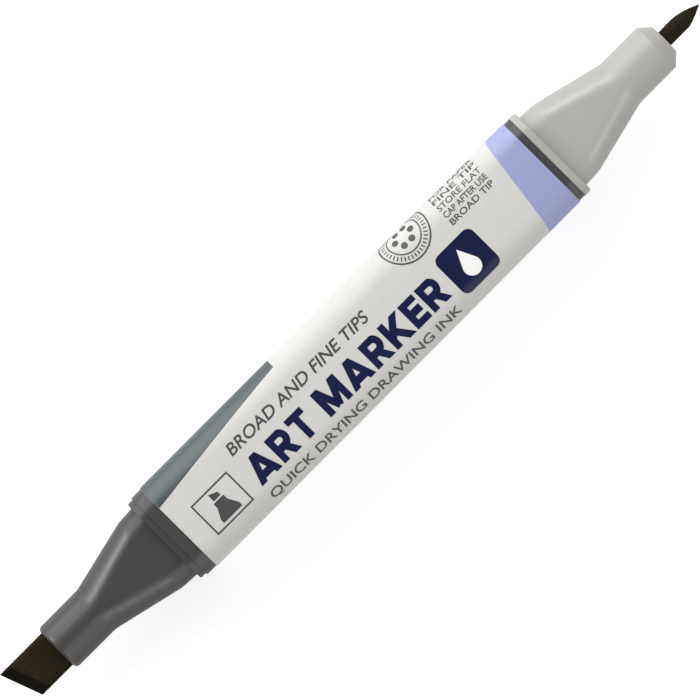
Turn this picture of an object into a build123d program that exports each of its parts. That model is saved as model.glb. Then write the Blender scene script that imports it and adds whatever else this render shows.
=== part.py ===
"""Twin-tip alcohol marker with both caps off: a square barrel with a chisel nib at one end
and a fine bullet nib at the other.

Millimetres. X runs along the marker, towards the fine nib, with x = 0 midway between the two
tips. Z points up out of the printed face. z = 0 is the face that the marker lies on.
"""

import os
from math import cos, radians, sin

from build123d import *

os.makedirs("parts", exist_ok=True)

# ---------------------------------------------------------------- driving dimensions
overall_length = 132.1          # chisel tip to fine tip
slip = 0.05                     # clearance on each side of pieces that slide together

# Barrel: a square tube
barrel_start = -36.3
barrel_end = 36.65
barrel_side = 14.68
barrel_corner = 3.3
cavity_side = 12.0
cavity_corner = 2.3
rib_width = 1.0                 # four ribs hold the reservoir off the cavity walls
rib_half_length = 28.5
edge_round = 0.15               # softened moulding edges

# Printed film round the barrel
label_start = -34.5
label_end = 35.55
label_thickness = 0.13

# Ink reservoir: a round fibre rod in a thin film sleeve
reservoir_radius = 4.65
reservoir_half_length = 34.25
sleeve_thickness = 0.15
sleeve_half_length = 33.5

# Front sections: each is a plug, a flange, a square base, a taper and a round nozzle
plug_end = 29.2                 # distance of each plug's inner end from mid-length
plug_corner = 2.25
seat = 34.3                     # distance of each reservoir seat from mid-length
seat_bore_radius = 4.1
base_corner = 3.0
throat_inset = 0.05             # the taper's small end lies this far inside the nozzle
throat_flat = 0.1               # width that each flat face of the taper keeps there
taper_round = 4.0               # blends the taper into the base
neck_round = 4.0                # blends the taper into the nozzle
neck_reach = 0.4                # the edge between them lies this near the taper's small end

chisel_flange_side = 14.15
chisel_flange_corner = 3.1
chisel_flange_x = -37.25
chisel_base_side = 12.7
chisel_taper_side = 12.4
chisel_taper_x = -39.9
chisel_nozzle_x = -50.6
chisel_mouth_x = -58.0
chisel_nozzle_radius = 3.75
chisel_rim_round = 0.7

fine_flange_side = 14.8
fine_flange_corner = 3.3
fine_flange_x = 37.75
fine_flange_round = 0.4
fine_base_side = 12.94
fine_taper_side = 12.75
fine_taper_x = 40.3
fine_nozzle_x = 51.0
fine_cone_x = 57.8
fine_mouth_x = 59.4
fine_nozzle_radius = 3.81
fine_mouth_radius = 2.33

# Chisel nib: a flat felt bar with a slanted writing edge, bevelled from both faces
chisel_width = 6.12
chisel_thickness = 3.2
chisel_corner = 0.9
chisel_slant = 20.0             # degrees between the writing edge and square across
chisel_bevel = 1.46             # depth of each bevel, square to the writing edge
chisel_land = 0.7               # thickness left at the writing edge
nib_tail = 26.0                 # distance of each nib's tail from mid-length

# Fine nib: a round felt rod that swells a little outside the nozzle and ends in a bullet point
fine_shank_radius = 1.25
fine_swell_radius = 1.315
fine_swell_x = 61.5
fine_point_radius = 0.17

# Nib holders: moulded inserts inside the front sections
channel_end_x = -53.0           # inner end of the chisel nozzle's nib channel
chisel_cavity_radius = 3.3
chisel_holder_x = -46.0
chisel_holder_length = 6.0
fine_holder_x = 44.5
fine_holder_radius = 1.8
fine_collar_radius = 2.8
fine_collar_length = 1.4
mouth_recess = 0.25             # the fine holder stops short of the nozzle's face
vent_width = 0.8                # grooves that let air in beside each nib
vent_depth = 0.35

# ---------------------------------------------------------------- derived dimensions
tip_x = overall_length / 2
sleeve_radius = reservoir_radius + sleeve_thickness
rib_height = cavity_side / 2 - sleeve_radius
plug_side = cavity_side - 2 * slip
label_side = barrel_side + 2 * label_thickness
label_corner = barrel_corner + label_thickness
axis_height = label_side / 2
centre_line = Axis((0, 0, axis_height), (1, 0, 0))
lengthwise = Plane(origin=(0, 0, axis_height), x_dir=(1, 0, 0), z_dir=(0, -1, 0))


def across(x):
    """Plane square to the centre line: local x is world Y and local y is world Z."""
    return Plane(origin=(x, 0, axis_height), x_dir=(0, 1, 0), z_dir=(1, 0, 0))


# ---------------------------------------------------------------- shared sections
def square_section(x, side, corner):
    """A rounded square across the marker."""
    with BuildSketch(across(x)) as section:
        RectangleRounded(side, side, corner)
    return section.sketch


def throat_section(x, nozzle_radius):
    """The taper's small end: all but round, and just inside the nozzle."""
    side = 2 * (nozzle_radius - throat_inset)
    return square_section(x, side, (side - throat_flat) / 2)


def nib_section(x, extra):
    """The chisel nib's section across the marker, grown by extra all round."""
    with BuildSketch(across(x)) as section:
        RectangleRounded(
            chisel_width + 2 * extra,
            chisel_thickness + 2 * extra,
            chisel_corner + extra,
        )
    return section.sketch


def bore_section(x, radius):
    """A circle across the marker."""
    with BuildSketch(across(x)) as section:
        Circle(radius)
    return section.sketch


def edges_near(builder, x, reach):
    """The edges whose middles lie within reach of the plane across the marker at x."""
    return builder.edges().filter_by_position(Axis.X, x - reach, x + reach)


def save(builder, name):
    """Label a finished piece and write its STEP file."""
    builder.part.label = name
    export_step(builder.part, f"parts/{name}.step")


# ---------------------------------------------------------------- barrel
with BuildPart() as barrel:
    extrude(
        square_section(barrel_start, barrel_side, barrel_corner),
        amount=barrel_end - barrel_start,
    )
    fillet(barrel.edges().group_by(Axis.X)[0], radius=edge_round)
    fillet(barrel.edges().group_by(Axis.X)[-1], radius=edge_round)
    extrude(
        square_section(barrel_start, cavity_side, cavity_corner),
        amount=barrel_end - barrel_start,
        mode=Mode.SUBTRACT,
    )
    with BuildSketch(across(-rib_half_length)):
        with PolarLocations(cavity_side / 2 - rib_height / 2, 4):
            Rectangle(rib_height, rib_width)
    extrude(amount=2 * rib_half_length)
save(barrel, "barrel")

# ---------------------------------------------------------------- printed film round the barrel
with BuildPart() as barrel_label:
    with BuildSketch(across(label_start)):
        RectangleRounded(label_side, label_side, label_corner)
        RectangleRounded(barrel_side, barrel_side, barrel_corner, mode=Mode.SUBTRACT)
    extrude(amount=label_end - label_start)
save(barrel_label, "barrel_label")

# ---------------------------------------------------------------- chisel-end front section
with BuildPart() as chisel_front_section:
    # Flange, which stops against the barrel's end
    extrude(
        square_section(chisel_flange_x, chisel_flange_side, chisel_flange_corner),
        amount=barrel_start - chisel_flange_x,
    )
    fillet(chisel_front_section.edges().group_by(Axis.X)[0], radius=edge_round)
    # Taper and base: four flat faces that narrow between cone-like corners until the section is
    # as round as the nozzle
    loft(
        [
            throat_section(chisel_nozzle_x, chisel_nozzle_radius),
            square_section(chisel_taper_x, chisel_taper_side, base_corner),
            square_section(chisel_flange_x, chisel_base_side, base_corner),
        ],
        ruled=True,
    )
    fillet(edges_near(chisel_front_section, chisel_taper_x, slip), radius=taper_round)
    # Nozzle
    extrude(
        bore_section(chisel_mouth_x, chisel_nozzle_radius),
        amount=chisel_taper_x - chisel_mouth_x,
    )
    fillet(edges_near(chisel_front_section, chisel_nozzle_x, neck_reach), radius=neck_round)
    fillet(chisel_front_section.edges().group_by(Axis.X)[0], radius=chisel_rim_round)
    # Plug, inside the barrel
    extrude(
        square_section(barrel_start, plug_side, plug_corner),
        amount=-plug_end - barrel_start,
    )
    # Hollow: reservoir socket, holder bore, cavity and the nib channel with its two air grooves
    extrude(
        bore_section(-seat, sleeve_radius + slip),
        amount=seat - plug_end,
        mode=Mode.SUBTRACT,
    )
    extrude(
        bore_section(chisel_holder_x, seat_bore_radius),
        amount=-seat - chisel_holder_x,
        mode=Mode.SUBTRACT,
    )
    extrude(
        bore_section(channel_end_x, chisel_cavity_radius),
        amount=chisel_holder_x - channel_end_x,
        mode=Mode.SUBTRACT,
    )
    extrude(
        nib_section(chisel_mouth_x, slip),
        amount=channel_end_x - chisel_mouth_x,
        mode=Mode.SUBTRACT,
    )
    with BuildSketch(across(chisel_mouth_x)):
        Rectangle(vent_width, chisel_thickness + 2 * vent_depth)
    extrude(amount=channel_end_x - chisel_mouth_x, mode=Mode.SUBTRACT)
save(chisel_front_section, "chisel_front_section")

# ---------------------------------------------------------------- fine-end front section
with BuildPart() as fine_front_section:
    # Flange, which stops against the barrel's end
    extrude(
        square_section(barrel_end, fine_flange_side, fine_flange_corner),
        amount=fine_flange_x - barrel_end,
    )
    fillet(fine_front_section.edges().group_by(Axis.X)[-1], radius=fine_flange_round)
    # Taper and base, as at the other end
    loft(
        [
            square_section(fine_flange_x, fine_base_side, base_corner),
            square_section(fine_taper_x, fine_taper_side, base_corner),
            throat_section(fine_nozzle_x, fine_nozzle_radius),
        ],
        ruled=True,
    )
    fillet(edges_near(fine_front_section, fine_taper_x, slip), radius=taper_round)
    # Nozzle, coned at its mouth
    with BuildSketch(lengthwise):
        with BuildLine():
            Polyline(
                (fine_taper_x, 0),
                (fine_taper_x, fine_nozzle_radius),
                (fine_cone_x, fine_nozzle_radius),
                (fine_mouth_x, fine_mouth_radius),
                (fine_mouth_x, 0),
                close=True,
            )
        make_face()
    revolve(axis=centre_line)
    fillet(edges_near(fine_front_section, fine_nozzle_x, neck_reach), radius=neck_round)
    # Plug, inside the barrel
    extrude(
        square_section(plug_end, plug_side, plug_corner),
        amount=barrel_end - plug_end,
    )
    # Hollow: reservoir socket, cavity, collar bore and holder bore
    extrude(
        bore_section(plug_end, sleeve_radius + slip),
        amount=seat - plug_end,
        mode=Mode.SUBTRACT,
    )
    extrude(
        bore_section(seat, seat_bore_radius),
        amount=fine_taper_x - seat,
        mode=Mode.SUBTRACT,
    )
    extrude(
        bore_section(fine_taper_x, fine_collar_radius),
        amount=fine_holder_x + fine_collar_length - fine_taper_x,
        mode=Mode.SUBTRACT,
    )
    extrude(
        bore_section(fine_holder_x, fine_holder_radius),
        amount=fine_mouth_x - fine_holder_x,
        mode=Mode.SUBTRACT,
    )
save(fine_front_section, "fine_front_section")

# ---------------------------------------------------------------- nib holders
with BuildPart() as chisel_nib_holder:
    extrude(bore_section(chisel_holder_x, seat_bore_radius), amount=chisel_holder_length)
    extrude(
        nib_section(chisel_holder_x, slip),
        amount=chisel_holder_length,
        mode=Mode.SUBTRACT,
    )
    with BuildSketch(across(chisel_holder_x)):
        with GridLocations(0, 2 * seat_bore_radius, 1, 2):
            Rectangle(2 * vent_width, 4 * vent_depth)
    extrude(amount=chisel_holder_length, mode=Mode.SUBTRACT)
save(chisel_nib_holder, "chisel_nib_holder")

with BuildPart() as fine_nib_holder:
    extrude(bore_section(fine_holder_x, fine_collar_radius), amount=fine_collar_length)
    extrude(
        bore_section(fine_holder_x, fine_holder_radius),
        amount=fine_mouth_x - mouth_recess - fine_holder_x,
    )
    with BuildSketch(across(fine_holder_x)):
        with PolarLocations(fine_holder_radius, 3):
            Rectangle(vent_depth, vent_width)
        with PolarLocations(fine_collar_radius, 3):
            Rectangle(2 * (fine_collar_radius - fine_holder_radius), vent_width)
    extrude(amount=fine_mouth_x - fine_holder_x, mode=Mode.SUBTRACT)
    extrude(
        bore_section(fine_holder_x, fine_shank_radius + slip),
        amount=fine_mouth_x - fine_holder_x,
        mode=Mode.SUBTRACT,
    )
save(fine_nib_holder, "fine_nib_holder")

# ---------------------------------------------------------------- ink reservoir and its sleeve
with BuildPart() as ink_reservoir:
    extrude(
        bore_section(-reservoir_half_length, reservoir_radius),
        amount=2 * reservoir_half_length,
    )
    extrude(
        nib_section(-reservoir_half_length, slip),
        amount=reservoir_half_length - nib_tail + slip,
        mode=Mode.SUBTRACT,
    )
    extrude(
        bore_section(nib_tail - slip, fine_shank_radius + slip),
        amount=reservoir_half_length - nib_tail + slip,
        mode=Mode.SUBTRACT,
    )
save(ink_reservoir, "ink_reservoir")

with BuildPart() as reservoir_sleeve:
    with BuildSketch(across(-sleeve_half_length)):
        Circle(sleeve_radius)
        Circle(reservoir_radius, mode=Mode.SUBTRACT)
    extrude(amount=2 * sleeve_half_length)
save(reservoir_sleeve, "reservoir_sleeve")

# ---------------------------------------------------------------- chisel nib
slant_cos = cos(radians(chisel_slant))
slant_sin = sin(radians(chisel_slant))
writing_edge = Plane(
    origin=(-tip_x, chisel_width / 2, axis_height),
    x_dir=(slant_cos, slant_sin, 0),
    z_dir=(slant_sin, -slant_cos, 0),
)
with BuildPart() as chisel_nib:
    extrude(nib_section(-tip_x, 0), amount=tip_x - nib_tail)
    # The bevelled end: a blunt wedge that runs along the slanted writing edge
    with BuildSketch(writing_edge):
        with BuildLine():
            Polyline(
                (0, -chisel_land / 2),
                (0, chisel_land / 2),
                (chisel_bevel, chisel_thickness / 2),
                (tip_x, chisel_thickness / 2),
                (tip_x, -chisel_thickness / 2),
                (chisel_bevel, -chisel_thickness / 2),
                close=True,
            )
        make_face()
    extrude(amount=3 * chisel_width, both=True, mode=Mode.INTERSECT)
save(chisel_nib, "chisel_nib")

# ---------------------------------------------------------------- fine nib
with BuildPart() as fine_nib:
    with BuildSketch(lengthwise):
        with BuildLine():
            shank = Polyline(
                (tip_x, 0),
                (nib_tail, 0),
                (nib_tail, fine_shank_radius),
                (fine_mouth_x, fine_shank_radius),
                (fine_swell_x, fine_swell_radius),
            )
            ogive = TangentArc(
                (fine_swell_x, fine_swell_radius),
                (tip_x - fine_point_radius, fine_point_radius),
                tangent=(1, 0),
            )
            Line(ogive @ 1, shank @ 0)
        make_face()
    revolve(axis=centre_line)
save(fine_nib, "fine_nib")
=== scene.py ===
from math import asin, cos, pi, radians, sin, sqrt, tan

import bmesh
import bpy
from mathutils import Matrix, Vector, noise
from mathutils.geometry import delaunay_2d_cdt


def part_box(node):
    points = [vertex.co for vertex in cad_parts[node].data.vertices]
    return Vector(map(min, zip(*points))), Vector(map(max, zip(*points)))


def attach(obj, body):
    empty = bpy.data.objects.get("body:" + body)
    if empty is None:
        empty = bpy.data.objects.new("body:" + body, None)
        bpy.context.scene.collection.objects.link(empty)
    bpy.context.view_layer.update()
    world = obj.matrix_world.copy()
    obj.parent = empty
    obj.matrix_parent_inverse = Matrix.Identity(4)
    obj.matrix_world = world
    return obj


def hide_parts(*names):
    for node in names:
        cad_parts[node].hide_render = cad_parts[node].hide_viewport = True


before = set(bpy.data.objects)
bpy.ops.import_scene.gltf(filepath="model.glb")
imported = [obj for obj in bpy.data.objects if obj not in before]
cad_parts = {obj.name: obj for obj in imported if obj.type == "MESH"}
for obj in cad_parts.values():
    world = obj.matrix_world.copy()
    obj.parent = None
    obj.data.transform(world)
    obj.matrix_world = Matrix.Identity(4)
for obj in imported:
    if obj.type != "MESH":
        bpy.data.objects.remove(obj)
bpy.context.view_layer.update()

MM = 0.001
BODY = "marker_body"             # the body that everything but the two nibs rides on

# ---------------------------------------------------------------- measures of the frame
label_low, label_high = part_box("barrel_label")
axis_z = (label_low.z + label_high.z) / 2
label_half = (label_high.z - label_low.z) / 2
label_round = 3.43 * MM                       # the film's corner radius
label_flat = label_half - label_round         # half the width of each flat face
quarter = 2 * label_flat + label_round * pi / 2        # a quarter of the way round the film
label_start = label_low.x
label_end = label_high.x


def link(obj):
    """Puts a new object into the scene."""
    bpy.context.scene.collection.objects.link(obj)
    return obj


# ---------------------------------------------------------------- materials
class Look:
    """Shorthands for building one material's node tree. Noise scales are per metre."""

    def __init__(self, name):
        self.material = bpy.data.materials.new(name)
        self.material.use_nodes = True
        self.tree = self.material.node_tree
        self.shader = self.tree.nodes["Principled BSDF"]
        self.place = self.add("ShaderNodeTexCoord").outputs["Object"]

    def add(self, kind, **inputs):
        """A new node with some of its inputs set or linked."""
        node = self.tree.nodes.new(kind)
        for name, value in inputs.items():
            self.feed(node, name, value)
        return node

    def feed(self, node, name, value):
        """Links a node's input to a socket, or sets it to a constant."""
        socket = node.inputs[name.replace("_", " ")]
        if isinstance(value, bpy.types.NodeSocket):
            self.tree.links.new(value, socket)
        else:
            socket.default_value = value

    def set(self, **inputs):
        """Sets or links the shader's own sockets."""
        for name, value in inputs.items():
            self.feed(self.shader, name, value)

    def stretched(self, scale):
        """Object coordinates scaled along each axis."""
        return self.add("ShaderNodeMapping", Vector=self.place, Scale=scale).outputs["Vector"]

    def noise(self, scale, detail=3.0, roughness=0.55, place=None):
        """A noise over the piece, or over other coordinates if they are given."""
        node = self.add(
            "ShaderNodeTexNoise",
            Vector=place or self.place,
            Scale=scale,
            Detail=detail,
            Roughness=roughness,
        )
        return node.outputs["Fac"]

    def span(self, value, low, high, source=(0.3, 0.7)):
        """Maps a value onto a range. Most of a noise lies between 0.3 and 0.7."""
        node = self.add(
            "ShaderNodeMapRange",
            Value=value,
            From_Min=source[0],
            From_Max=source[1],
            To_Min=low,
            To_Max=high,
        )
        return node.outputs["Result"]

    def blend(self, factor, first, second):
        """A colour between two colours."""
        node = self.tree.nodes.new("ShaderNodeMix")
        node.data_type = "RGBA"
        self.tree.links.new(factor, node.inputs["Factor"])
        # a Mix node has an A, a B and a Result for each kind of data, and these are the colour's
        for socket, value in ((node.inputs[6], first), (node.inputs[7], second)):
            if isinstance(value, bpy.types.NodeSocket):
                self.tree.links.new(value, socket)
            else:
                socket.default_value = value
        return node.outputs[2]

    def operate(self, kind, operation, *sources):
        """A node that works one of its operations on its inputs."""
        node = self.tree.nodes.new(kind)
        node.operation = operation
        for socket, source in zip(node.inputs, sources):
            self.tree.links.new(source, socket)
        return node

    def bump(self, height, distance, strength, over=None):
        """A normal pushed by a height, on top of another bump if one is given."""
        node = self.add("ShaderNodeBump", Height=height, Distance=distance, Strength=strength)
        if over is not None:
            self.tree.links.new(over, node.inputs["Normal"])
        return node.outputs["Normal"]


def colour(red, green, blue):
    """An sRGB colour, 0 to 255, as linear RGBA."""
    def linear(value):
        value /= 255
        return value / 12.92 if value <= 0.04045 else ((value + 0.055) / 1.055) ** 2.4
    return (linear(red), linear(green), linear(blue), 1.0)


def moulded_plastic(name, base, shade, roughness, ior=1.5):
    """Satin injection-moulded plastic: fine grain, faint flow mottling and rubbed patches."""
    look = Look(name)
    mottle = look.noise(180.0, detail=2.0)
    grain = look.noise(4500.0, detail=1.0)
    rubbed = look.noise(420.0, detail=5.0, roughness=0.65)
    look.set(
        Base_Color=look.blend(look.span(mottle, 0.0, 1.0), base, shade),
        Roughness=look.span(rubbed, roughness - 0.03, roughness + 0.04),
        IOR=ior,
        Normal=look.bump(grain, 0.004 * MM, 0.4),
    )
    return look.material


def label_film():
    """White printed film: satin, very slightly uneven over the glue."""
    look = Look("label_film_look")
    paper = look.noise(900.0, detail=4.0)
    waves = look.noise(140.0, detail=1.0)
    look.set(
        Base_Color=look.blend(
            look.span(paper, 0.0, 1.0), colour(190, 189, 186), colour(187, 185, 182)
        ),
        Roughness=look.span(look.noise(300.0), 0.42, 0.50),
        IOR=1.36,
        Normal=look.bump(waves, 0.02 * MM, 0.5),
    )
    return look.material


def print_ink(name, ink, worn, ior=1.5):
    """Printed ink with the fine speckle of a flexo plate."""
    look = Look(name)
    speckle = look.noise(7000.0, detail=3.0)
    look.set(
        Base_Color=look.blend(look.span(speckle, 0.0, 1.0, (0.35, 0.75)), ink, worn),
        Roughness=look.span(look.noise(300.0), 0.34, 0.42),
        IOR=ior,
    )
    return look.material


def felt(name, soaked, fibre, fineness):
    """Ink-soaked felt: fibres along the nib, damp patches and small dark pores."""
    look = Look(name)
    along = look.stretched((0.10, 1.0, 1.0))
    strands = look.noise(fineness, detail=6.0, roughness=0.6, place=along)
    pores = look.noise(fineness * 0.6, detail=3.0)
    wet = look.noise(500.0, detail=2.0)
    shade = look.blend(look.span(strands, 0.0, 1.0, (0.35, 0.68)), soaked, fibre)
    look.set(
        Base_Color=look.blend(look.span(pores, 0.0, 0.55, (0.45, 0.75)), shade, soaked),
        Roughness=look.span(wet, 0.70, 0.85),
        IOR=1.18,
        Normal=look.bump(strands, 0.05 * MM, 0.7, over=look.bump(pores, 0.03 * MM, 0.5)),
    )
    return look.material


def paint(node, material):
    """Gives a CAD node a finished material in place of its flat one."""
    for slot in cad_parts[node].material_slots:
        slot.material = material


dark_plastic = moulded_plastic("dark_grey_look", colour(61, 59, 57), colour(58, 56, 54), 0.32, 1.53)
barrel_plastic = moulded_plastic("barrel_look", colour(61, 60, 60), colour(58, 57, 57), 0.32, 1.53)
light_plastic = moulded_plastic("light_grey_look", colour(158, 156, 152), colour(155, 153, 149), 0.33)
holder_plastic = moulded_plastic("holder_look", colour(214, 212, 204), colour(206, 204, 196), 0.45)
film = label_film()
navy = print_ink("navy_ink_look", colour(3, 11, 52), colour(9, 17, 58), ior=1.42)
grey = print_ink("grey_ink_look", colour(56, 58, 57), colour(74, 76, 75))
lavender = print_ink("lavender_ink_look", colour(137, 144, 183), colour(141, 148, 186))
teal = print_ink("teal_ink_look", colour(58, 68, 71), colour(64, 74, 77), ior=1.65)
white = print_ink("white_ink_look", colour(226, 225, 223), colour(222, 220, 218))
chisel_felt = felt("chisel_felt_look", colour(25, 19, 7), colour(39, 32, 17), 5200.0)
# darker felt for the ground facets and writing edge: partly wetter cut felt, partly painted shade
soaked_and_shaded_edge_felt = felt("chisel_edge_look", colour(6, 5, 1), colour(15, 12, 6), 5200.0)
fine_felt = felt("fine_felt_look", colour(23, 18, 8), colour(42, 36, 21), 6500.0)


# ---------------------------------------------------------------- the two felt nibs
FELT_SMOOTH = 0.2 * MM       # how far in front of the nozzle's mouth the felt is still smooth


def felt_unevenness(point, fibre_length, fibre_width):
    """How far the felt stands out at a point, from -1 to 1: long low ridges along the nib, and
    finer ones over them."""
    ridges = Vector((point.x / fibre_length, point.y / fibre_width, point.z / fibre_width))
    return 0.7 * noise.noise(ridges) + 0.3 * noise.noise(3 * ridges)


def clamped(value):
    """A value held between 0 and 1."""
    return min(max(value, 0), 1)


def even_steps(start, end, count):
    """Equal steps from start to end, without start itself."""
    return [start + (end - start) * i / count for i in range(1, count + 1)]


def shade_smooth(mesh, crease, material):
    """Smooth shading, except over edges that turn by more than the crease angle."""
    mesh.polygons.foreach_set("use_smooth", [True] * len(mesh.polygons))
    mesh.set_sharp_from_angle(angle=crease)
    mesh.materials.append(material)


def ring_mesh(name, rings, material):
    """A closed mesh over a row of rings of points, each end closed by a flat face."""
    shape = bmesh.new()
    rows = [[shape.verts.new(point) for point in ring] for ring in rings]
    count = len(rows[0])
    for first, second in zip(rows, rows[1:]):
        for i in range(count):
            j = (i + 1) % count
            shape.faces.new((first[i], first[j], second[j], second[i]))
    shape.faces.new(rows[0][::-1])
    shape.faces.new(rows[-1])
    bmesh.ops.recalc_face_normals(shape, faces=shape.faces)
    mesh = bpy.data.meshes.new(name)
    shape.to_mesh(mesh)
    shape.free()
    shade_smooth(mesh, radians(35), material)
    return link(bpy.data.objects.new(name, mesh))


def nib_piece(node, rings, material):
    """A finished nib in place of its plain CAD node, on the body that has the node's name."""
    piece = ring_mesh(node + "_felt", rings, material)
    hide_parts(node)
    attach(piece, node)
    return piece


def rounded_bar_section(half_width, half_height, corner, per_side=14, per_corner=10):
    """Points round a rounded rectangle: x across the marker and y up."""
    arcs = []
    for turn, across, up in ((0, 1, 1), (90, -1, 1), (180, -1, -1), (270, 1, -1)):
        centre = Vector((across * (half_width - corner), up * (half_height - corner)))
        angles = [radians(turn + 90 * i / per_corner) for i in range(per_corner + 1)]
        arcs.append([centre + corner * Vector((cos(angle), sin(angle))) for angle in angles])
    points = []
    for arc, following in zip(arcs, arcs[1:] + arcs[:1]):
        points += arc
        points += [arc[-1].lerp(following[0], i / per_side) for i in range(1, per_side)]
    return points


def chisel_nib():
    """The broad nib: a felt bar with a slanted writing edge, bevelled from both faces."""
    low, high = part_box("chisel_nib")
    slant = tan(radians(20))
    bevel = 1.64 * MM                  # how far back the two ground facets reach
    land = 0.35 * MM                   # half the thickness left at the writing edge
    soft = 0.10 * MM                   # rounding of the writing edge
    corner = 0.9 * MM                  # rounding of the bar's long edges
    fuzz = 0.018 * MM                  # how deep the furrows between the fibres are
    fade = 0.4 * MM                    # over how long a stretch they come in
    fibre_length, fibre_width = 1.1 * MM, 0.22 * MM
    half_width = (high.y - low.y) / 2
    half_height = (high.z - low.z) / 2
    middle_z = (high.z + low.z) / 2
    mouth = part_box("chisel_front_section")[0].x
    end = high.x - low.x
    free = mouth - low.x
    seen = free + 1 * MM               # the rings are close together this far back
    # each ring's distance from the tip
    stations = [soft * (i / 3) ** 2 for i in range(4)]
    stations += even_steps(soft, bevel, 12)
    stations += even_steps(bevel, seen, 40)
    stations += even_steps(seen, end, 30)
    rings = []
    for back in stations:
        rounding = max(soft - back, 0)
        pull = soft - sqrt(soft ** 2 - rounding ** 2)
        wide = half_width - pull
        thick = land + (half_height - land) * clamped(back / bevel) - pull
        # the slant dies out inside the marker, where the bar's tail is cut square
        slanted = slant * clamped((end - back) / (end - free))
        ring = []
        for across, up in rounded_bar_section(wide, thick, min(corner, 0.9 * thick)):
            x = low.x + back + (half_width - across) * slanted
            point = Vector((x, across, up))
            out = Vector((0, across / wide, up / thick)).normalized()
            show = clamped((mouth - FELT_SMOOTH - x) / fade)
            point += out * fuzz * show * (felt_unevenness(point, fibre_length, fibre_width) - 1)
            ring.append((point.x, point.y, middle_z + point.z))
        rings.append(ring)
    piece = nib_piece("chisel_nib", rings, chisel_felt)
    # the ground facets and the writing edge get a darker felt: partly the wetter cut felt, partly
    # painted shade, since these facets face away from the light
    piece.data.materials.append(soaked_and_shaded_edge_felt)
    facet_rings = sum(back < bevel for back in stations)
    for face in piece.data.polygons:
        if min(face.vertices) < facet_rings * len(rings[0]):
            face.material_index = 1


def fine_nib():
    """The fine nib: a bonded-fibre rod that swells a little and is ground to a point, a bit more
    on its +Y side."""
    low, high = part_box("fine_nib")
    middle_z = (high.z + low.z) / 2
    shank = 1.25 * MM                      # radii of the rod, its swelling and its point
    swell = high.y - 0.01 * MM
    tip = 0.09 * MM
    nose = 0.08 * MM                       # length of the point's rounded end
    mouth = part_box("fine_front_section")[1].x
    swollen = mouth + 1.6 * MM             # where the rod is widest
    upper_turn = mouth + 2.4 * MM          # where the grinding starts on the +Y side
    lower_turn = mouth + 3.7 * MM          # and on the -Y side
    point_x = high.x - nose

    def ground(x, turn, radius, evenness):
        """The radius where the rod is ground: an even taper has an evenness of 1."""
        fall = (x - turn) / (point_x - turn)
        return radius - (radius - tip) * (evenness * fall + (1 - evenness) * fall * fall)

    def upper(x):
        if x < upper_turn:
            rise = clamped((x - mouth) / (swollen - mouth))
            return shank + (swell - shank) * rise * rise * (3 - 2 * rise)
        return ground(x, upper_turn, swell, evenness=0.22)

    def lower(x):
        if x < lower_turn:
            return shank
        return ground(x, lower_turn, shank, evenness=0.72)

    stations = [low.x] + even_steps(low.x, mouth, 30) + even_steps(mouth, point_x, 60)
    rings = [nib_ring(x, upper(x), lower(x), mouth, middle_z) for x in stations]
    for degrees in (24, 48, 72):
        turn = radians(degrees)
        radius = tip * cos(turn)
        rings.append(nib_ring(point_x + nose * sin(turn), radius, radius, mouth, middle_z))
    nib_piece("fine_nib", rings, fine_felt)


def nib_ring(x, upper, lower, mouth, middle_z, count=64):
    """One ring of the fine nib, of one radius on its +Y side and another on its -Y side."""
    fuzz = 0.012 * MM                      # how deep the furrows between the fibres are
    fade = 0.5 * MM                        # over how long a stretch they come in
    thin = 0.5 * MM                        # the radius below which they get shallower
    fibre_length, fibre_width = 1.5 * MM, 0.16 * MM
    show = clamped((x - mouth - FELT_SMOOTH) / fade) * clamped(lower / thin)
    ring = []
    for i in range(count):
        angle = 2 * pi * i / count
        radius = lower + (upper - lower) * (1 + cos(angle)) / 2
        point = Vector((x, radius * cos(angle), radius * sin(angle)))
        radius += fuzz * show * (felt_unevenness(point, fibre_length, fibre_width) - 1)
        ring.append((x, radius * cos(angle), middle_z + radius * sin(angle)))
    return ring


chisel_nib()
fine_nib()

paint("barrel", barrel_plastic)
paint("barrel_label", film)
paint("chisel_front_section", dark_plastic)
paint("fine_front_section", light_plastic)
paint("chisel_nib_holder", holder_plastic)
paint("fine_nib_holder", holder_plastic)
paint("ink_reservoir", fine_felt)
paint("reservoir_sleeve", holder_plastic)

# ---------------------------------------------------------------- print on the label
INK_UP = 0.012 * MM          # how far a print stands up from the film
INK_DOWN = 0.03 * MM         # how far its underside reaches into the film
BEND_STEP = radians(3)       # a print is cut into strips this wide where the film turns a corner
WELD = 1e-7                  # points of a flat drawing that are this near are one point
NEAR = 1e-6                  # a cut that is this near to a point goes through the point


def on_label(x, around, lift):
    """A point on the film. Around runs over the surface, square to the length, from the middle of
    the printed face towards +Y."""
    face = (around + quarter / 2) // quarter         # 0 is the printed face and 1 the +Y face
    along_face = around - face * quarter
    turn = max(abs(along_face) - label_flat, 0) / label_round
    across = min(abs(along_face), label_flat) + (label_round + lift) * sin(turn)
    out = label_flat + (label_round + lift) * cos(turn)
    if along_face < 0:
        across = -across
    swing = face * pi / 2
    y = across * cos(swing) + out * sin(swing)
    z = out * cos(swing) - across * sin(swing)
    return Vector((x, y, axis_z + z))


def bend_lines(low, high):
    """The places round the film where a print has to be cut so that it can bend."""
    lines = []
    steps = round(pi / 2 / BEND_STEP)
    for face in range(int(low // quarter) - 1, int(high // quarter) + 2):
        start = face * quarter + label_flat
        lines += [start + label_round * BEND_STEP * i for i in range(steps + 1)]
    return [line for line in lines if low < line < high]


def outline_curve(name, loops):
    """A filled flat curve from closed loops of points."""
    curve = bpy.data.curves.new(name, "CURVE")
    curve.dimensions = "2D"
    curve.fill_mode = "BOTH"
    for loop in loops:
        spline = curve.splines.new("POLY")
        spline.points.add(len(loop) - 1)
        for point, (x, y) in zip(spline.points, loop):
            point.co = (x, y, 0, 1)
        spline.use_cyclic_u = True
    return curve


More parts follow.
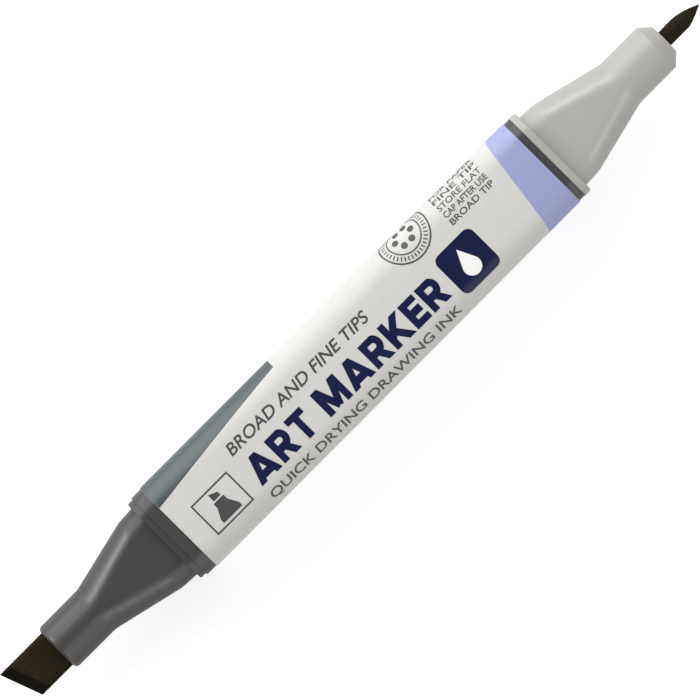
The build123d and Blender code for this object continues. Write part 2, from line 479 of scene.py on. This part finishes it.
def flat_mesh(name, curve):
    """The mesh of a flat curve or of a text."""
    source = link(bpy.data.objects.new(name + "_outline", curve))
    bpy.context.view_layer.update()
    graph = bpy.context.evaluated_depsgraph_get()
    mesh = bpy.data.meshes.new_from_object(source.evaluated_get(graph))
    bpy.data.objects.remove(source)
    return mesh


def print_piece(name, mesh, material, lift=INK_UP):
    """Wraps a flat mesh, drawn as x along and y around, onto the film as a thin closed print."""
    shape = bmesh.new()
    shape.from_mesh(mesh)
    bmesh.ops.remove_doubles(shape, verts=shape.verts, dist=WELD)
    around = [v.co.y for v in shape.verts]
    for line in bend_lines(min(around), max(around)):
        geometry = shape.verts[:] + shape.edges[:] + shape.faces[:]
        bmesh.ops.bisect_plane(
            shape, geom=geometry, dist=NEAR, plane_co=(0, line, 0), plane_no=(0, 1, 0)
        )
    raised = bmesh.ops.extrude_face_region(shape, geom=shape.faces[:], use_keep_orig=True)
    top = {v for v in raised["geom"] if isinstance(v, bmesh.types.BMVert)}
    for v in shape.verts:
        v.co = on_label(v.co.x, v.co.y, lift if v in top else -INK_DOWN)
    bmesh.ops.recalc_face_normals(shape, faces=shape.faces)
    wrapped = bpy.data.meshes.new(name)
    shape.to_mesh(wrapped)
    shape.free()
    shade_smooth(wrapped, radians(30), material)
    piece = link(bpy.data.objects.new(name, wrapped))
    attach(piece, BODY)


def printed_text(name, words, left, right, foot, cap_height, slant=0.0):
    """A line of thin grey capitals, stretched to run from left to right with its feet at foot."""
    curve = bpy.data.curves.new(name, "FONT")
    curve.body = words
    curve.size = 1.0
    curve.offset = 0.014             # makes the strokes a little heavier
    curve.shear = slant
    curve.resolution_u = 6
    mesh = flat_mesh(name, curve)
    xs = [v.co.x for v in mesh.vertices]
    ys = [v.co.y for v in mesh.vertices]
    start, base = min(xs), min(ys)
    stretch = (right - left) / (max(xs) - start)
    rise = cap_height / (max(ys) - base)
    for v in mesh.vertices:
        v.co.x = left + (v.co.x - start) * stretch
        v.co.y = foot + (v.co.y - base) * rise
    print_piece(name, mesh, grey)


# Each bold letter has a width and bars between points of a box that is 1 high, and the R has an
# arched bowl too. A bar that ends on the box's foot or top line runs on and is cut off flat there.
BOLD_BARS = {
    "A": (1.05, [((0.14, 0), (0.525, 1)), ((0.525, 1), (0.91, 0)), ((0.28, 0.24), (0.77, 0.24))]),
    "R": (0.86, [((0.12, 0), (0.12, 1)), ((0.12, 0.9), (0.46, 0.9)), ((0.12, 0.44), (0.46, 0.44)),
                 ((0.40, 0.48), (0.72, 0))]),
    "T": (0.80, [((0.0, 0.9), (0.80, 0.9)), ((0.40, 0), (0.40, 1))]),
    "M": (1.12, [((0.12, 0), (0.12, 1)), ((1.0, 0), (1.0, 1)), ((0.16, 1), (0.56, 0.08)),
                 ((0.96, 1), (0.56, 0.08))]),
    "K": (0.92, [((0.12, 0), (0.12, 1)), ((0.16, 0.36), (0.76, 1)), ((0.34, 0.56), (0.80, 0))]),
    "E": (0.72, [((0.12, 0), (0.12, 1)), ((0.12, 0.9), (0.70, 0.9)), ((0.12, 0.5), (0.65, 0.5)),
                 ((0.12, 0.1), (0.70, 0.1))]),
    " ": (0.30, []),
}
BOLD_STROKE = 0.265              # a bar's width
BOLD_GAP = 0.13                  # space between letters
BOWL = ((0.46, 0.67), 0.23)      # the R's bowl: centre and radius of the stroke's middle


def bold_bar(start, end):
    """The four corners of a bar. An end on the foot or top line runs on past it."""
    start, end = Vector(start), Vector(end)
    along = (end - start).normalized()
    side = Vector((-along.y, along.x)) * BOLD_STROKE / 2
    if start.y in (0, 1):
        start -= along * BOLD_STROKE
    if end.y in (0, 1):
        end += along * BOLD_STROKE
    return [start + side, start - side, end - side, end + side]


def bold_bowl(centre, radius, steps=24):
    """Quads along the half ring that closes an R on its right."""
    inner, outer = radius - BOLD_STROKE / 2, radius + BOLD_STROKE / 2
    spokes = [Vector((sin(pi * i / steps), cos(pi * i / steps))) for i in range(steps + 1)]
    centre = Vector(centre)
    return [
        [centre + b * inner, centre + b * outer, centre + a * outer, centre + a * inner]
        for a, b in zip(spokes, spokes[1:])
    ]


def bold_word(name, words, left, right, foot, cap_height):
    """Heavy plain navy capitals, stretched to run from left to right with their feet at foot."""
    shape = bmesh.new()
    x = 0
    for letter in words:
        width, bars = BOLD_BARS[letter]
        quads = [bold_bar(*bar) for bar in bars]
        if letter == "R":
            quads += bold_bowl(*BOWL)
        if quads:
            add_union(shape, quads, x)
        x += width + BOLD_GAP
    xs = [v.co.x for v in shape.verts]
    start = min(xs)
    stretch = (right - left) / (max(xs) - start)
    for v in shape.verts:
        v.co = (left + (v.co.x - start) * stretch, foot + v.co.y * cap_height, 0)
    mesh = bpy.data.meshes.new(name)
    shape.to_mesh(mesh)
    shape.free()
    print_piece(name, mesh, navy)


def add_union(shape, quads, shift):
    """Adds overlapping quads as one flat sheet, cut off at 0 and 1, shifted along x."""
    points = [point for quad in quads for point in quad]
    faces = [list(range(i, i + 4)) for i in range(0, len(points), 4)]
    inside_only = 1
    same_point = 1e-6
    verts, _, triangles, _, _, sources = delaunay_2d_cdt(points, [], faces, inside_only, same_point)
    letter = bmesh.new()
    corners = [letter.verts.new((v.x, v.y, 0)) for v in verts]
    for triangle, source in zip(triangles, sources):
        if source:                       # a triangle from no quad lies in a hole
            letter.faces.new([corners[i] for i in triangle])
    for line, outward in ((0, -1), (1, 1)):
        bmesh.ops.bisect_plane(
            letter,
            geom=letter.verts[:] + letter.edges[:] + letter.faces[:],
            plane_co=(0, line, 0),
            plane_no=(0, outward, 0),
            clear_outer=True,
        )
    bmesh.ops.translate(letter, verts=letter.verts, vec=(shift, 0, 0))
    mesh = bpy.data.meshes.new("letter")
    letter.to_mesh(mesh)
    letter.free()
    shape.from_mesh(mesh)
    bpy.data.meshes.remove(mesh)


def ring_loop(x, y, radius, count=96):
    """A circle."""
    return [
        (x + radius * cos(2 * pi * i / count), y + radius * sin(2 * pi * i / count))
        for i in range(count)
    ]


def rounded_loop(left, right, low, high, radius, steps=8):
    """A rectangle with rounded corners."""
    points = []
    corners = [
        (right - radius, high - radius, 0),
        (left + radius, high - radius, 90),
        (left + radius, low + radius, 180),
        (right - radius, low + radius, 270),
    ]
    for x, y, start in corners:
        for i in range(steps + 1):
            angle = radians(start + 90 * i / steps)
            points.append((x + radius * cos(angle), y + radius * sin(angle)))
    return points


def printed_shape(name, loops, material, lift=INK_UP):
    """A print inside closed loops of points. A loop within another is a hole."""
    print_piece(name, flat_mesh(name, outline_curve(name, loops)), material, lift)


def colour_zones():
    """The lavender band at the fine end and the grey-green wedge at the chisel end."""
    margin = 0.02 * MM                   # bare film left beside the label's two ends
    lean = 0.138 * quarter               # the band's inner edge runs to and fro as it goes round,
    middle = 30.9 * MM                   # about this place along the marker
    band_end = label_end - margin
    seam = 0.01 * MM                     # half the gap between the band's two ends
    printed_shape("colour_band", [[
        (middle - lean, seam - quarter),
        (middle + lean, quarter),
        (middle - lean, 3 * quarter - seam),
        (band_end, 3 * quarter - seam),
        (band_end, seam - quarter),
    ]], lavender)
    wedge_start = label_start + margin
    wedge_end = -9.92 * MM
    low_edge = 3.64 * MM                 # the wedge's lower edge at its wide end
    tip_edge = 6.45 * MM                 # and at its narrow end
    printed_shape("colour_wedge", [[
        (wedge_start, low_edge),
        (wedge_end, tip_edge),
        (wedge_end, 2 * quarter - tip_edge),
        (wedge_start, 2 * quarter - low_edge),
    ]], teal)


def label_text():
    """The large words, a line of text above and below them, and a block of small rows."""
    left = -22.5 * MM
    bold_word("word_main", "ART MARKER", left, right=14.2 * MM, foot=-4.19 * MM, cap_height=4.17 * MM)
    line = 1.8 * MM
    printed_text(
        "word_tips", "BROAD AND FINE TIPS", left, right=4.1 * MM, foot=1.5 * MM, cap_height=line,
        slant=0.2,
    )
    printed_text(
        "word_ink", "QUICK DRYING DRAWING INK", left, right=13.8 * MM, foot=-7.2 * MM, cap_height=line
    )
    block_left, block_right, block_foot = 21.0 * MM, 29.0 * MM, 2.45 * MM
    row_pitch = 1.28 * MM
    row_height = 0.92 * MM
    rows = ["BROAD TIP", "CAP AFTER USE", "STORE FLAT", "FINE TIP", "FOR PAPER"]
    for index, row in enumerate(rows):
        foot = block_foot + row_pitch * index
        printed_text(f"word_small_{index + 1}", row, block_left, block_right, foot, row_height)


def outline_box():
    """A thin square frame round a plain drawing of a chisel nib."""
    line = 0.24 * MM                     # the frame's line width
    left, right, low, high = -31.4 * MM, -24.5 * MM, -4.66 * MM, 0.78 * MM
    printed_shape("mark_box", [
        rounded_loop(left, right, low, high, 0.05 * MM, steps=2),
        rounded_loop(left + line, right - line, low + line, high - line, 0.04 * MM, steps=2),
    ], grey)
    x = (left + right) / 2
    middle = (low + high) / 2
    # outlines of a front section and its nib, in millimetres from the frame's middle
    front = [(-1.75, -2.1), (1.75, -2.1), (1.75, -1.5), (0.95, 0.0), (0.95, 0.75), (-0.95, 0.75),
             (-0.95, 0.0), (-1.75, -1.5)]
    nib = [(-0.65, 0.98), (0.65, 0.98), (0.65, 1.6), (-0.65, 2.15)]
    for name, outline in (("mark_front", front), ("mark_nib", nib)):
        loop = [(x + across * MM, middle + up * MM) for across, up in outline]
        printed_shape(name, [loop], grey)


def badge():
    """A navy block with a white drop of ink on it."""
    left, right, low, high = 15.5 * MM, 22.4 * MM, -5.77 * MM, 1.06 * MM
    rounding = 1.1 * MM
    printed_shape("badge", [rounded_loop(left, right, low, high, rounding)], navy)
    x = (left + right) / 2
    radius = 1.35 * MM                            # the drop's round end, its middle and its point
    centre = low + 2.55 * MM
    top = high - 1.2 * MM
    lean = asin(radius / (top - centre))          # where the drop's sides leave its round end
    turns = [pi - lean + (pi + 2 * lean) * i / 40 for i in range(41)]
    drop = [(x, top)] + [(x + radius * cos(turn), centre + radius * sin(turn)) for turn in turns]
    printed_shape("badge_drop", [drop], white, lift=2 * INK_UP)


def directions(count):
    """Directions spread evenly round a circle."""
    turns = [2 * pi * i / count for i in range(count)]
    return [Vector((cos(turn), sin(turn))) for turn in turns]


def dial():
    """A ring of fine ticks between two circles, round six ink spots."""
    centre = Vector((15.1 * MM, 6.56 * MM))
    for name, outer, inner in (("dial_rim", 4.1, 3.86), ("dial_inner_ring", 2.78, 2.58)):
        printed_shape(name, [
            ring_loop(*centre, outer * MM),
            ring_loop(*centre, inner * MM),
        ], grey)
    tick_start, tick_end, tick_half_width = 3.02 * MM, 3.62 * MM, 0.09 * MM
    ticks = []
    for along in directions(40):
        side = Vector((-along.y, along.x)) * tick_half_width
        near, far = centre + along * tick_start, centre + along * tick_end
        ticks.append([near - side, far - side, far + side, near + side])
    printed_shape("dial_ticks", ticks, grey)
    spot_circle, spot_radius = 1.45 * MM, 0.5 * MM
    spots = [ring_loop(*(centre + way * spot_circle), spot_radius, 24) for way in directions(6)]
    printed_shape("dial_spots", spots, grey)


colour_zones()
label_text()
outline_box()
badge()
dial()


# ---------------------------------------------------------------- floor, light and camera
def floor_paper():
    """Pale backdrop paper. A glow that lights nothing keeps it pale, more so away from the
    marker, where the lights don't reach."""
    look = Look("floor_look")
    # the glow rises from 0.10 to 0.45 m away, and only rays from the camera see it
    distance = look.operate("ShaderNodeVectorMath", "LENGTH", look.place).outputs["Value"]
    glow = look.span(distance, 0.58, 0.88, (0.10, 0.45))
    seen = look.add("ShaderNodeLightPath").outputs["Is Camera Ray"]
    look.set(
        Base_Color=look.blend(
            look.span(look.noise(6.0), 0.0, 1.0), (0.60, 0.60, 0.60, 1), (0.59, 0.59, 0.59, 1)
        ),
        Roughness=0.9,
        Emission_Color=(1, 1, 1, 1),
        Emission_Strength=look.operate("ShaderNodeMath", "MULTIPLY", glow, seen).outputs[0],
    )
    return look.material


def studio():
    """The floor that the marker lies on, the light and the air."""
    floor_mesh = bpy.data.meshes.new("floor")
    half = 3.0                           # half the floor's width
    floor_mesh.from_pydata(
        [(-half, -half, 0), (half, -half, 0), (half, half, 0), (-half, half, 0)], [], [(0, 1, 2, 3)]
    )
    floor_mesh.materials.append(floor_paper())
    floor = link(bpy.data.objects.new("floor", floor_mesh))

    world = bpy.data.worlds.new("studio_air")
    world.use_nodes = True
    background = world.node_tree.nodes["Background"].inputs
    background["Color"].default_value = (1, 1, 1, 1)
    background["Strength"].default_value = 0.14
    bpy.context.scene.world = world
    softbox("key_softbox", zenith=56.5, reach=0.075, width=0.092, length=0.40, radiance=2.3)
    softbox("fill_softbox", zenith=-56.0, reach=0.25, width=0.34, length=0.7, radiance=1.18)
    end_softbox("chisel_end_key", end=-1, side=1, radiance=8.0)
    end_softbox("chisel_end_fill", end=-1, side=-1, radiance=2.6)
    end_softbox("fine_end_key", end=1, side=1, radiance=8.0)
    end_softbox("fine_end_fill", end=1, side=-1, radiance=5.0)


def area_light(name, length, width, radiance):
    """A rectangular light that the camera doesn't see."""
    data = bpy.data.lights.new(name, "AREA")
    data.shape = "RECTANGLE"
    data.size = length
    data.size_y = width
    data.energy = radiance * pi * length * width
    lamp = link(bpy.data.objects.new(name, data))
    lamp.visible_camera = False
    return lamp


def softbox(name, zenith, reach, width, length, radiance):
    """A strip light along the marker, tipped from straight overhead towards +Y by its zenith
    angle in degrees."""
    tip = radians(zenith)
    lamp = area_light(name, length, width, radiance)
    lamp.location = (0, reach * sin(tip), axis_z + reach * cos(tip))
    lamp.rotation_euler = (-tip, 0, 0)


def end_softbox(name, end, side, radiance):
    """A small light beyond one end of the marker that shows up in the corners of its taper."""
    taper = Vector((0.045 * end, 0, axis_z))                # the middle of the taper
    towards = Vector((0.53 * end, 0.655 * side, 0.542)).normalized()
    away = 0.2
    lamp = area_light(name, length=0.075, width=0.045, radiance=radiance)
    lamp.location = taper + towards * away
    lamp.rotation_euler = towards.to_track_quat("Z", "Y").to_euler()


def camera():
    """Looks straight down on the printed face, with the marker lying from lower left to upper
    right of the view."""
    tilt = radians(45.115)               # the marker's angle in the view
    view_width = 95.48 * MM              # what the view spans at the marker
    distance = 3.0
    aim = Vector((-0.92 * MM, 0.47 * MM, axis_z))       # in the middle of the view
    data = bpy.data.cameras.new("camera")
    data.sensor_width = 36.0
    data.lens = data.sensor_width * distance / view_width
    data.clip_start = 0.01
    view = link(bpy.data.objects.new("camera", data))
    right = Vector((cos(tilt), -sin(tilt), 0))
    up = Vector((sin(tilt), cos(tilt), 0))
    back = Vector((0, 0, 1))
    turn = Matrix((right, up, back)).transposed().to_4x4()
    view.matrix_world = Matrix.Translation(aim + back * distance) @ turn
    bpy.context.scene.camera = view


studio()
camera()
bpy.context.scene.view_settings.view_transform = "Standard"
